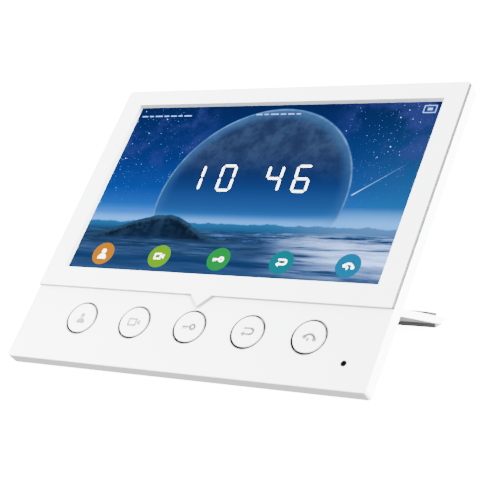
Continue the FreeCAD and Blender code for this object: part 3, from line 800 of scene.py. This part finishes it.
def make_face_materials():
    """The white plastics of the front, with painted shade in their gaps, hole walls, key skirts and thin
    bezel sides.
    """
    white = moulded("white shell", WHITE, 0.985, 0.38)
    shaded_gaps(white, pointer_shade, SOFT_SHADE)
    shaded_gaps(white, key_rings, GAP_SHADE)
    shaded_gaps(white, hole_rim, HOLE_SHADE)
    dress(("front_shell",), shaded_gaps(white, deep_inside, HOLE_SHADE))
    bezel = moulded("white bezel", WHITE, 0.985, 0.34)
    shaded_gaps(bezel, pointer_shade, SOFT_SHADE)
    # the sides along the seam and the pointer take a grey tint as painted shade
    shaded_gaps(bezel, pointer_sides, rgb(92, 93, 96))
    dress(("bezel_plate",), shaded_gaps(bezel, outer_edge, rgb(52, 53, 55)))
    keys = moulded("white keys", WHITE, 0.985, 0.36)
    shaded_gaps(keys, key_rings, GAP_SHADE)
    # the key skirts take a near-black tint as painted shade in the gap around each key
    dress(["key_" + name for name in KEYS], shaded_gaps(keys, below_rim, rgb(8, 8, 9)))
    glass, tree, shader = new_material("dark glass")
    grain = tree.add("ShaderNodeGroup", node_tree=GRAIN)
    tree.feed(shader.inputs["Base Color"], tree.mix(grain.outputs["Patch"], (0.006, 0.008, 0.012, 1.0),
                                                    (0.01, 0.012, 0.018, 1.0)))
    shader.inputs["Roughness"].default_value = 0.08
    dress(("screen_glass",), glass)


def make_rear_materials():
    """The cover, the stand and its rubber."""
    cover = moulded("white cover", rgb(222, 224, 227), 0.97, 0.48)
    # the vent walls take a near-black tint as painted shade inside the holes
    dress(("rear_cover",), shaded_gaps(cover, vent_walls, rgb(18, 18, 20)))
    dress(("stand_leg",), moulded("white leg", rgb(238, 239, 241), 0.975, 0.44))
    dress(("stand_bracket",), moulded("coated bracket", rgb(196, 199, 203), 0.97, 0.4))
    foam = moulded("dark rubber", (0.006, 0.006, 0.0065, 1.0), 0.8, 0.82)
    dress(("leg_pad_left", "leg_pad_right", "display_gasket", "microphone_boot", "speaker_gasket"), foam)
    dress(("leg_foot_strip",), moulded("foot rubber", (0.1, 0.1, 0.104, 1.0), 0.85, 0.75))
    dress(("wall_insert_left", "wall_insert_right"), metal("insert brass", (0.5, 0.33, 0.12, 1.0), 0.28))
    dress(("cover_screws", "bracket_screws", "hinge_pin_left", "hinge_pin_right", "board_screws", "lcd_frame",
           "board_shield", *("switch_" + name for name in KEYS)), metal("bright steel", STEEL, 0.3))


def make_inner_materials():
    """The boards, the connectors and the other parts inside."""
    black = moulded("black moulding", (0.012, 0.012, 0.013, 1.0), 0.8, 0.45)
    dress(("network_jack", "processor_chip", "memory_chip", "power_chip", "lcd_module",
           *("plunger_" + name for name in KEYS)), black)
    board = moulded("board lacquer", (0.012, 0.1, 0.045, 1.0), 0.8, 0.3, 0.4)
    dress(("key_board", "main_board"), board)
    dress(("terminal_block",), moulded("green block", (0.03, 0.26, 0.1, 1.0), 0.9, 0.4))
    film = moulded("ribbon film", (0.62, 0.34, 0.1, 1.0), 0.9, 0.35, 0.3)
    dress(("key_ribbon", "display_ribbon"), film)
    dress(("speaker", "microphone"), metal("driver steel", STEEL, 0.4))
    dress(("capacitor_inner", "capacitor_outer"), metal("can aluminium", (0.8, 0.8, 0.82, 1.0), 0.22))


# ---------------------------------------------------------------- studio

SKY_ABOVE = 3.7
DIM_BELOW = 0.7
TABLE_GLOW = 14.0
TABLE_HALF = 8.0
# where each light stands, what it aims at, how wide it is in metres and its power in watts
LIGHTS = (("key light", (-0.62, -0.42, 0.62), (-0.03, 0, 0.05), 0.35, 44),
          ("right light", (1.6, 0.35, 0.35), (0, 0, 0.05), 0.8, 330),
          ("rear light", (0.4, 1.2, 1.3), (0, 0, 0.05), 0.8, 14))

# the camera in the station's own axes: its place in millimetres, and its right, down and ahead
LENS = 107.56
VIEW_POINT = (336.4, -198.7, 403.5)
VIEW_RIGHT = (0.8242, 0.3416, -0.4517)
VIEW_DOWN = (0.0339, -0.8259, -0.5628)
VIEW_AHEAD = (-0.5653, 0.4486, -0.6923)


def make_camera():
    """The camera, placed in the station's own axes."""
    data = bpy.data.cameras.new("camera")
    data.lens = LENS
    data.sensor_width = 36
    data.clip_start = 0.01
    data.clip_end = 50
    camera = bpy.data.objects.new("camera", data)
    bpy.context.scene.collection.objects.link(camera)
    turn = Matrix((VIEW_RIGHT, [-part for part in VIEW_DOWN], [-part for part in VIEW_AHEAD]))
    turn = turn.transposed().to_4x4()
    spot = Matrix.Translation([part * MM for part in VIEW_POINT])
    camera.matrix_world = SEAT @ spot @ turn
    bpy.context.scene.camera = camera


def make_light(name, spot, aim, size, power):
    """A round soft light aimed at a point."""
    data = bpy.data.lights.new(name, "AREA")
    data.shape = "DISK"
    data.size = size
    data.energy = power
    light = bpy.data.objects.new(name, data)
    bpy.context.scene.collection.objects.link(light)
    light.location = spot
    light.rotation_euler = (Vector(aim) - Vector(spot)).to_track_quat("-Z", "Y").to_euler()


def make_world():
    """Bright overhead, dim below, so that the faces that look down fall into shade."""
    world = bpy.data.worlds.new("studio")
    bpy.context.scene.world = world
    world.use_nodes = True
    tree = Tree(world.node_tree)
    ground = [node for node in world.node_tree.nodes if node.type == "BACKGROUND"][0]
    _, _, height = tree.split(tree.add("ShaderNodeTexCoord").outputs["Generated"])
    dark = (DIM_BELOW, DIM_BELOW, DIM_BELOW, 1.0)
    bright = (SKY_ABOVE, SKY_ABOVE, SKY_ABOVE * 1.01, 1.0)
    tree.feed(ground.inputs["Color"], tree.mix(tree.step(height, -0.12, 0.06), dark, bright))
    ground.inputs["Strength"].default_value = 1.0


def make_floor():
    """A light table: it shows pure white and leaves the undersides of the object in shade."""
    mesh = bpy.data.meshes.new("floor")
    work = bmesh.new()
    bmesh.ops.create_grid(work, x_segments=1, y_segments=1, size=TABLE_HALF)
    work.to_mesh(mesh)
    work.free()
    floor = bpy.data.objects.new("floor", mesh)
    bpy.context.scene.collection.objects.link(floor)
    made, tree, shader = new_material("studio floor")
    grain = tree.add("ShaderNodeGroup", node_tree=GRAIN)
    tree.feed(shader.inputs["Base Color"], tree.mix(grain.outputs["Patch"], (0.6, 0.6, 0.6, 1.0),
                                                    (0.61, 0.61, 0.61, 1.0)))
    shader.inputs["Roughness"].default_value = 1.0
    shader.inputs["Specular IOR Level"].default_value = 0.0
    shader.inputs["Emission Color"].default_value = (1, 1, 1, 1)
    shader.inputs["Emission Strength"].default_value = TABLE_GLOW
    mesh.materials.append(made)
    floor.visible_diffuse = False
    floor.visible_glossy = False


def make_studio():
    """The white table, the room and three lights."""
    make_world()
    make_floor()
    for light in LIGHTS:
        make_light(*light)


make_face_materials()
make_rear_materials()
make_inner_materials()
soften(("bezel_plate", "stand_leg", "stand_bracket", "rear_cover"))
make_display()
make_key_marks()
make_camera()
make_studio()
